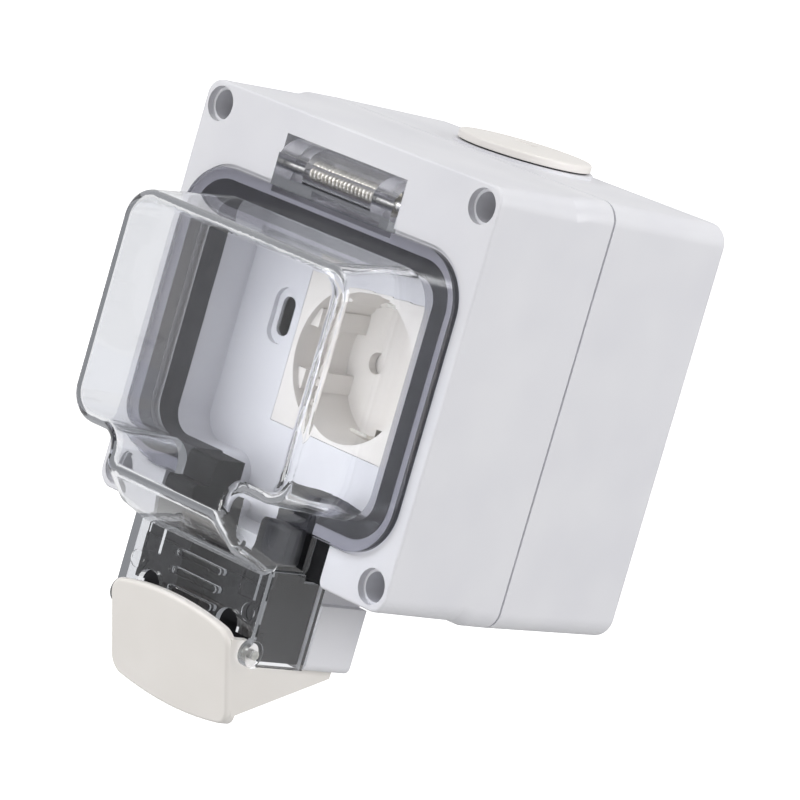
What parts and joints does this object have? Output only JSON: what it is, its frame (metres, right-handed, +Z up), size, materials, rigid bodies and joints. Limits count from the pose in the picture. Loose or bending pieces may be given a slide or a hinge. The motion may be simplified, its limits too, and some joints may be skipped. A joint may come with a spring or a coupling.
{
  "type": "outdoor socket",
  "caption": "Surface wall box with a splash-proof power socket under a clear hinged lid, a rubber cable outlet, a latch below and a blanked cable entry on top.",
  "frame": {"origin": "middle of the rear face, on the wall", "axes": "+Y into the wall, so the front faces -Y; +Z up; +X to the right of a viewer in front"},
  "size_m": [0.11, 0.1142, 0.1544],
  "materials": {
    "grey_plastic": "moulded, satin",
    "white_plastic": "moulded, satin",
    "clear_plastic": "clear, polished",
    "seal_rubber": "moulded rubber",
    "screw_steel": "zinc plated",
    "spring_steel": "drawn wire",
    "base_plastic": "moulded, matte",
    "contact_brass": "stamped",
    "plated_brass": "nickel plated"
  },
  "bodies": {
    "case": {"front_cover": "grey_plastic", "back_box": "grey_plastic", "entry_cap": "white_plastic", "socket_face": "white_plastic", "case_seal": "seal_rubber", "lid_seal": "seal_rubber", "entry_cap_seal": "seal_rubber", "cable_seal": "seal_rubber", "cover_screws": "screw_steel", "terminal_screws": "screw_steel", "base_screws": "screw_steel", "retainer_screws": "screw_steel", "hinge_pin": "screw_steel", "hinge_spring": "spring_steel", "shutter_spring": "spring_steel", "socket_base": "base_plastic", "retainer": "base_plastic", "contact_left": "contact_brass", "contact_right": "contact_brass", "earth_clip": "plated_brass"},
    "lid": {"lid": "clear_plastic", "latch_pin": "screw_steel"},
    "latch": {"latch": "white_plastic"},
    "shutter": {"shutter": "base_plastic"}
  },
  "joints": [
    {"name": "lid_hinge", "type": "hinge", "parent": "case", "child": "lid", "pos_m": [0, -0.0789, 0.0398], "axis": [-1, 0, 0], "range_deg": [0, 92], "stiffness_Nm_per_rad": 0.04, "springref_deg": -34.38},
    {"name": "latch_pivot", "type": "hinge", "parent": "lid", "child": "latch", "pos_m": [0, -0.093, -0.074], "axis": [-1, 0, 0], "range_deg": [0, 15]},
    {"name": "shutter_turn", "type": "hinge", "parent": "case", "child": "shutter", "pos_m": [0, -0.041, -0.0044], "axis": [0, 1, 0], "range_deg": [0, 38], "stiffness_Nm_per_rad": 0.002, "springref_deg": -22.92}
  ]
}
